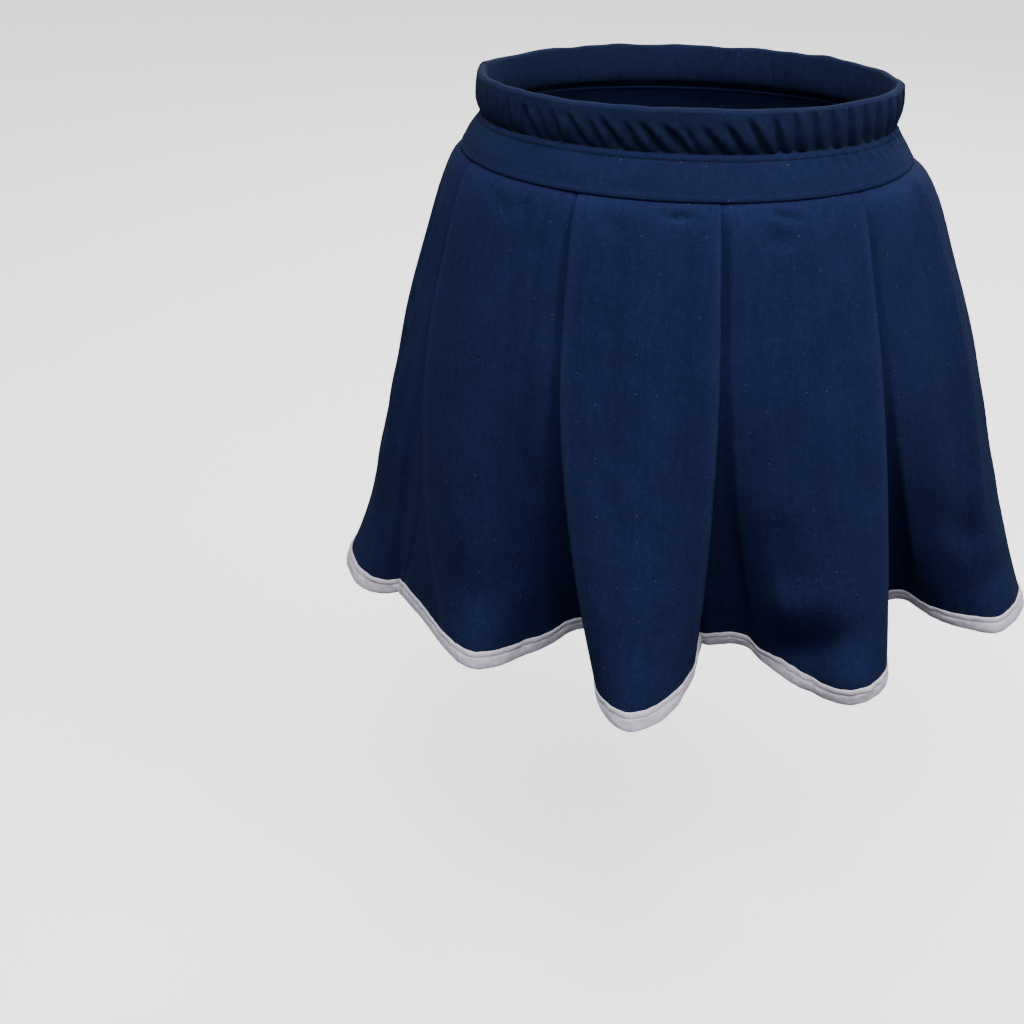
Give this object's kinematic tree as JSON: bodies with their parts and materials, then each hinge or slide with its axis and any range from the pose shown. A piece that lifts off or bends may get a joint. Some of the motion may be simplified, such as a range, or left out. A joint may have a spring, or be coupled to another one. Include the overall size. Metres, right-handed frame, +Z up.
{
  "type": "pleated cheer skirt",
  "caption": "Short pleated cheer skirt with a gathered elastic waistband, a smooth yoke, flared box and knife pleats, and a bound hem.",
  "frame": {"origin": "centre of the elastic waist opening, halfway up the elastic", "axes": "+Z up out of the waist opening; the front of the skirt faces -Y and the wearer's left is +X"},
  "size_m": [0.4817, 0.3938, 0.3498],
  "materials": {
    "skirt": "matte polyester knit, navy",
    "yoke": "matte polyester knit, navy",
    "casing": "gathered polyester knit, navy",
    "binding": "folded white knit binding with a row of topstitching",
    "thread": "navy polyester thread",
    "elastic": "woven elastic"
  },
  "bodies": {
    "waist": {"waistband_front": "casing", "waistband_back": "casing", "waist_elastic": "elastic", "casing_stitching": "thread", "yoke_front": "yoke", "yoke_back": "yoke", "fold_front_left": "skirt", "fold_side_left_front": "skirt", "fold_side_left_back": "skirt", "fold_back_left": "skirt", "fold_back_right": "skirt", "fold_side_right_back": "skirt", "fold_side_right_front": "skirt", "fold_front_right": "skirt", "fold_binding_front_left": "binding", "fold_binding_side_left_front": "binding", "fold_binding_side_left_back": "binding", "fold_binding_back_left": "binding", "fold_binding_back_right": "binding", "fold_binding_side_right_back": "binding", "fold_binding_side_right_front": "binding", "fold_binding_front_right": "binding"},
    "pleat_front_center": {"panel_front_center": "skirt", "binding_front_center": "binding"},
    "pleat_front_left": {"panel_front_left": "skirt", "binding_front_left": "binding"},
    "pleat_side_left": {"panel_side_left": "skirt", "binding_side_left": "binding"},
    "pleat_back_left": {"panel_back_left": "skirt", "binding_back_left": "binding"},
    "pleat_back_center": {"panel_back_center": "skirt", "binding_back_center": "binding"},
    "pleat_back_right": {"panel_back_right": "skirt", "binding_back_right": "binding"},
    "pleat_side_right": {"panel_side_right": "skirt", "binding_side_right": "binding"},
    "pleat_front_right": {"panel_front_right": "skirt", "binding_front_right": "binding"}
  },
  "joints": [
    {"name": "swing_front_center", "type": "hinge", "parent": "waist", "child": "pleat_front_center", "pos_m": [-0.0071, -0.1054, -0.037], "axis": [-0.9993, 0.038, 0], "range_deg": [0, 12]},
    {"name": "swing_front_left", "type": "hinge", "parent": "waist", "child": "pleat_front_left", "pos_m": [0.0745, -0.0895, -0.0363], "axis": [-0.9053, -0.4248, 0], "range_deg": [0, 12]},
    {"name": "swing_side_left", "type": "hinge", "parent": "waist", "child": "pleat_side_left", "pos_m": [0.1388, -0.0162, -0.0332], "axis": [-0.203, -0.9792, 0], "range_deg": [0, 12]},
    {"name": "swing_back_left", "type": "hinge", "parent": "waist", "child": "pleat_back_left", "pos_m": [0.0985, 0.0752, -0.0357], "axis": [0.8047, -0.5937, 0], "range_deg": [0, 12]},
    {"name": "swing_back_center", "type": "hinge", "parent": "waist", "child": "pleat_back_center", "pos_m": [0, 0.1055, -0.037], "axis": [1, 0, 0], "range_deg": [0, 12]},
    {"name": "swing_back_right", "type": "hinge", "parent": "waist", "child": "pleat_back_right", "pos_m": [-0.0985, 0.0752, -0.0357], "axis": [0.8047, 0.5937, 0], "range_deg": [0, 12]},
    {"name": "swing_side_right", "type": "hinge", "parent": "waist", "child": "pleat_side_right", "pos_m": [-0.1402, -0.0074, -0.0328], "axis": [-0.0927, 0.9957, 0], "range_deg": [0, 12]},
    {"name": "swing_front_right", "type": "hinge", "parent": "waist", "child": "pleat_front_right", "pos_m": [-0.0898, -0.0811, -0.036], "axis": [-0.8482, 0.5297, 0], "range_deg": [0, 12]}
  ]
}
